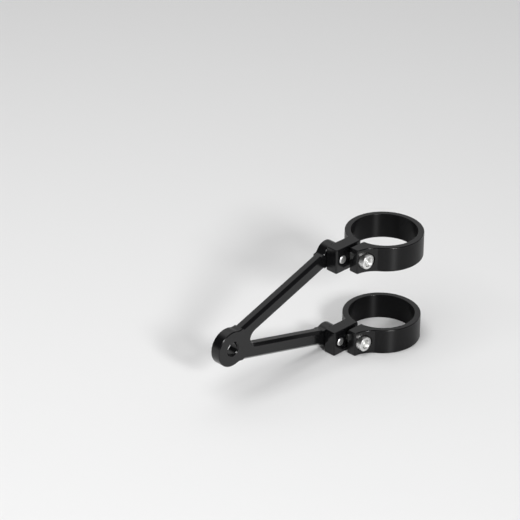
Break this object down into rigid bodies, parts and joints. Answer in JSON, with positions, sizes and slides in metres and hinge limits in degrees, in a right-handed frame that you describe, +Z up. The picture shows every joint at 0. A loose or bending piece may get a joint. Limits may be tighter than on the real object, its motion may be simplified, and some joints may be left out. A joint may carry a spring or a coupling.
{
  "type": "headlight mounting bracket",
  "caption": "V-shaped flat arm on split clamps that close round a fork tube; screws pinch the clamps, the arm swivels on screws in their lugs and its apex takes the lamp bolt.",
  "frame": {"origin": "on the fork tube's axis, halfway up the lower clamp", "axes": "+Z up the fork tube, +X from the tube towards the lamp bolt, +Y the side of the pinch screws' heads"},
  "size_m": [0.1619, 0.051, 0.077],
  "materials": {
    "black_anodised": "black anodised, semi-gloss",
    "screw_steel": "bright stainless"
  },
  "bodies": {
    "lower_clamp": {"lower_clamp": "black_anodised", "lower_pinch_screw": "screw_steel", "lower_arm_screw": "screw_steel"},
    "arm": {"arm": "black_anodised"},
    "upper_clamp": {"upper_clamp": "black_anodised", "upper_pinch_screw": "screw_steel", "upper_arm_screw": "screw_steel"}
  },
  "joints": [
    {"name": "lower_clamp_swivel", "type": "hinge", "parent": "lower_clamp", "child": "arm", "pos_m": [0.037, -0.0116, 0], "axis": [0, 1, 0], "range_deg": [-12, 12]},
    {"name": "upper_clamp_swivel", "type": "hinge", "parent": "arm", "child": "upper_clamp", "pos_m": [0.037, -0.0116, 0.06], "axis": [0, 1, 0], "range_deg": [-12, 12]}
  ]
}
